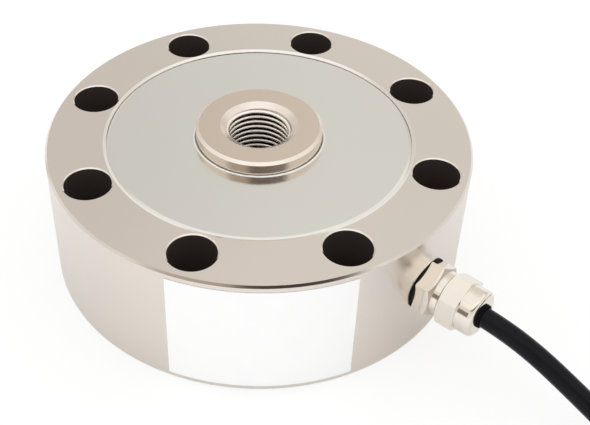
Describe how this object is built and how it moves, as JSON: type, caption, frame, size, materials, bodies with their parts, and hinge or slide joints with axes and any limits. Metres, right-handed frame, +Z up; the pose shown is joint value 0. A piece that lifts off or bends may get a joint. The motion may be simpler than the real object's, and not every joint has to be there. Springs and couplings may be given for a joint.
{
  "type": "pancake load cell",
  "caption": "Low-profile round load cell with a threaded hub, a counterbored bolt circle, sheet covers, a side cable gland and a tied coil of cable with stripped ends.",
  "frame": {"origin": "centre of the ring's base face, on the loading axis", "axes": "+Z up along the loading axis; +X along the cable gland, the way the cable leaves"},
  "size_m": [0.2498, 0.1292, 0.0369],
  "materials": {
    "plated_steel": "satin nickel plate",
    "cover_sheet": "matte plated sheet",
    "gland_metal": "bright nickel plate on brass",
    "black_rubber": "matte",
    "clear_sealant": "soft satin",
    "claw_nylon": "satin",
    "label_film": "satin film",
    "gauge_film": "satin film",
    "bare_copper": "bright",
    "tinned_copper": "satin",
    "board_laminate": "satin",
    "resistor_coat": "gloss",
    "cable_jacket": "satin",
    "tie_strap": "matte",
    "shrink_sleeve": "satin",
    "red_insulation": "satin",
    "black_insulation": "satin",
    "green_insulation": "satin",
    "white_insulation": "satin"
  },
  "bodies": {
    "root": {"sensing_body": "plated_steel", "top_cover": "cover_sheet", "bottom_cover": "cover_sheet", "top_hub_seal": "clear_sealant", "bottom_hub_seal": "clear_sealant", "gauge_leads": "bare_copper", "bridge_board": "board_laminate", "span_resistor": "resistor_coat", "zero_resistor": "resistor_coat", "temperature_resistor": "resistor_coat", "gland_body": "gland_metal", "gland_nut": "gland_metal", "gland_washer": "black_rubber", "gland_seal": "black_rubber", "gland_claw": "claw_nylon", "label": "label_film", "cable_in_gland": "cable_jacket", "cable_lead": "cable_jacket", "cable_coil": "cable_jacket", "cable_tail": "cable_jacket", "coil_tie": "tie_strap", "end_sleeve": "shrink_sleeve", "core_tips": "tinned_copper", "screen_wire": "tinned_copper", "strain_gauge_1": "gauge_film", "strain_gauge_2": "gauge_film", "strain_gauge_3": "gauge_film", "strain_gauge_4": "gauge_film", "strain_gauge_5": "gauge_film", "strain_gauge_6": "gauge_film", "strain_gauge_7": "gauge_film", "strain_gauge_8": "gauge_film", "inner_core_red": "red_insulation", "end_core_red": "red_insulation", "inner_core_black": "black_insulation", "end_core_black": "black_insulation", "inner_core_green": "green_insulation", "end_core_green": "green_insulation", "inner_core_white": "white_insulation", "end_core_white": "white_insulation"}
  },
  "joints": []
}
